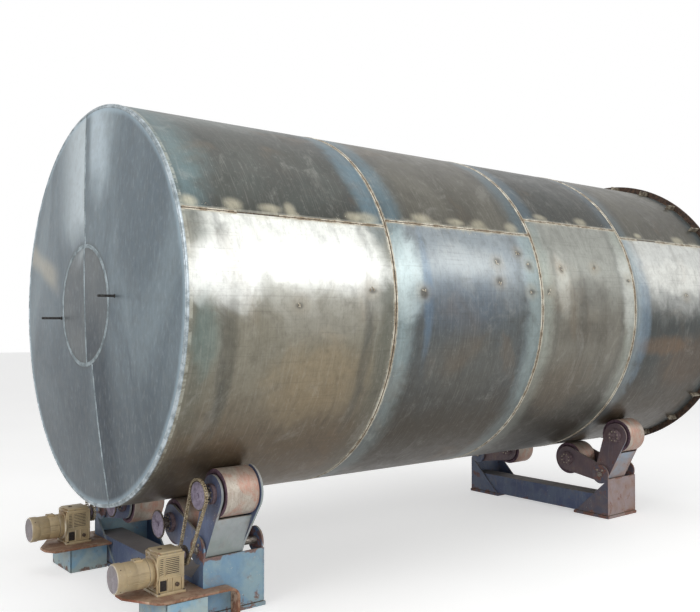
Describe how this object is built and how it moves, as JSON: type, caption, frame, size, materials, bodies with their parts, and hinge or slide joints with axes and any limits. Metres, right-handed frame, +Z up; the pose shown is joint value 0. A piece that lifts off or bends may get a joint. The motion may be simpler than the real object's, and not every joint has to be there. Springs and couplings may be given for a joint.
{
  "type": "horizontal cylindrical steel tank on turning roll stands",
  "caption": "Horizontal welded steel tank with shallow dished ends, lying on two stands of self-aligning turning rolls, one stand driven by chain from gearmotors.",
  "frame": {"origin": "on the floor, under the middle of the whole object's box", "axes": "+X along the tank from its front end to its rear end with the ring, -Y is the near side of the picture, +Z up"},
  "size_m": [7.3575, 3.3296, 3.9901],
  "materials": {
    "shell_steel": "mill plate with heat tint, streaks and brown rust bloom",
    "weld_metal": "rippled weld beads, tan and silver",
    "end_steel": "blue-grey plate with upright brush marks",
    "peg_steel": "dark bare bar",
    "ring_rust": "rusty flat bar",
    "clip_steel": "dull bare bar with rust",
    "beam_paint": "dusty dark blue paint",
    "drive_bracket_paint": "light blue paint, chipped and rusty along edges",
    "idler_bracket_paint": "light blue paint under pinkish rust",
    "drive_rocker_paint": "slate blue paint",
    "idler_rocker_paint": "maroon brown primer",
    "pin_steel": "greasy bare steel",
    "housing_paint": "dark dusty castings",
    "roller_steel": "worn steel tread over salmon rust",
    "chain_steel": "oily, rusty yellow roller chain",
    "sprocket_steel": "purple-grey steel disc",
    "gearbox_paint": "dusty beige paint",
    "motor_paint": "dusty beige paint",
    "shelf_paint": "light blue paint below a rusty brown plate"
  },
  "bodies": {
    "stands": {"drive_beam": "beam_paint", "idler_beam": "beam_paint", "drive_bracket_near": "drive_bracket_paint", "drive_bracket_far": "drive_bracket_paint", "idler_bracket_near": "idler_bracket_paint", "idler_bracket_far": "idler_bracket_paint", "drive_rocker_near": "drive_rocker_paint", "drive_rocker_far": "drive_rocker_paint", "idler_rocker_near": "idler_rocker_paint", "idler_rocker_far": "idler_rocker_paint", "rocker_pins": "pin_steel", "bearing_housings": "housing_paint", "chain_near": "chain_steel", "chain_far": "chain_steel", "gearbox_near": "gearbox_paint", "gearbox_far": "gearbox_paint", "motor_near": "motor_paint", "motor_far": "motor_paint", "motor_shelves": "shelf_paint"},
    "tank": {"shell_course_1": "shell_steel", "shell_course_2": "shell_steel", "shell_course_3": "shell_steel", "shell_course_4": "shell_steel", "girth_welds": "weld_metal", "seam_welds": "weld_metal", "rim_welds": "weld_metal", "front_end_plates": "end_steel", "front_end_disc": "end_steel", "front_end_welds": "weld_metal", "front_end_pegs": "peg_steel", "rear_end_plates": "end_steel", "rear_end_disc": "end_steel", "rear_end_welds": "weld_metal", "rear_ring": "ring_rust", "rear_clips": "clip_steel"},
    "drive_roller_near_outer": {"drive_roller_near_outer": "roller_steel"},
    "drive_roller_near_inner": {"drive_roller_near_inner": "roller_steel"},
    "drive_roller_far_outer": {"drive_roller_far_outer": "roller_steel"},
    "drive_roller_far_inner": {"drive_roller_far_inner": "roller_steel"},
    "idler_roller_near_outer": {"idler_roller_near_outer": "roller_steel"},
    "idler_roller_near_inner": {"idler_roller_near_inner": "roller_steel"},
    "idler_roller_far_outer": {"idler_roller_far_outer": "roller_steel"},
    "idler_roller_far_inner": {"idler_roller_far_inner": "roller_steel"},
    "gearbox_sprocket_near": {"gearbox_sprocket_near": "sprocket_steel"},
    "gearbox_sprocket_far": {"gearbox_sprocket_far": "sprocket_steel"}
  },
  "joints": [
    {"name": "tank_turn", "type": "hinge", "parent": "stands", "child": "tank", "pos_m": [0, 0, 2.32504], "axis": [1, 0, 0], "continuous": true},
    {"name": "drive_roller_near_outer_turn", "type": "hinge", "parent": "stands", "child": "drive_roller_near_outer", "pos_m": [-2.81121, -1.10826, 0.93176], "axis": [1, 0, 0], "continuous": true},
    {"name": "drive_roller_near_inner_turn", "type": "hinge", "parent": "stands", "child": "drive_roller_near_inner", "pos_m": [-2.81121, -0.46078, 0.6054], "axis": [1, 0, 0], "continuous": true},
    {"name": "drive_roller_far_outer_turn", "type": "hinge", "parent": "stands", "child": "drive_roller_far_outer", "pos_m": [-2.81121, 1.10826, 0.93176], "axis": [1, 0, 0], "continuous": true},
    {"name": "drive_roller_far_inner_turn", "type": "hinge", "parent": "stands", "child": "drive_roller_far_inner", "pos_m": [-2.81121, 0.46078, 0.6054], "axis": [1, 0, 0], "continuous": true},
    {"name": "idler_roller_near_outer_turn", "type": "hinge", "parent": "stands", "child": "idler_roller_near_outer", "pos_m": [2.26878, -1.10826, 0.93176], "axis": [1, 0, 0], "continuous": true},
    {"name": "idler_roller_near_inner_turn", "type": "hinge", "parent": "stands", "child": "idler_roller_near_inner", "pos_m": [2.26878, -0.46078, 0.6054], "axis": [1, 0, 0], "continuous": true},
    {"name": "idler_roller_far_outer_turn", "type": "hinge", "parent": "stands", "child": "idler_roller_far_outer", "pos_m": [2.26878, 1.10826, 0.93176], "axis": [1, 0, 0], "continuous": true},
    {"name": "idler_roller_far_inner_turn", "type": "hinge", "parent": "stands", "child": "idler_roller_far_inner", "pos_m": [2.26878, 0.46078, 0.6054], "axis": [1, 0, 0], "continuous": true},
    {"name": "gearbox_sprocket_near_turn", "type": "hinge", "parent": "stands", "child": "gearbox_sprocket_near", "pos_m": [-3.08671, -0.90026, 0.465], "axis": [1, 0, 0], "continuous": true},
    {"name": "gearbox_sprocket_far_turn", "type": "hinge", "parent": "stands", "child": "gearbox_sprocket_far", "pos_m": [-3.08671, 0.90026, 0.465], "axis": [1, 0, 0], "continuous": true}
  ],
  "couplings": [
    {"joint": "drive_roller_near_outer_turn", "follows": "tank_turn", "ratio": -8.8889},
    {"joint": "drive_roller_near_inner_turn", "follows": "tank_turn", "ratio": -8.8889},
    {"joint": "drive_roller_far_outer_turn", "follows": "tank_turn", "ratio": -8.8889},
    {"joint": "drive_roller_far_inner_turn", "follows": "tank_turn", "ratio": -8.8889},
    {"joint": "idler_roller_near_outer_turn", "follows": "tank_turn", "ratio": -8.8889},
    {"joint": "idler_roller_near_inner_turn", "follows": "tank_turn", "ratio": -8.8889},
    {"joint": "idler_roller_far_outer_turn", "follows": "tank_turn", "ratio": -8.8889},
    {"joint": "idler_roller_far_inner_turn", "follows": "tank_turn", "ratio": -8.8889},
    {"joint": "gearbox_sprocket_near_turn", "follows": "tank_turn", "ratio": -14.174},
    {"joint": "gearbox_sprocket_far_turn", "follows": "tank_turn", "ratio": -14.174}
  ]
}
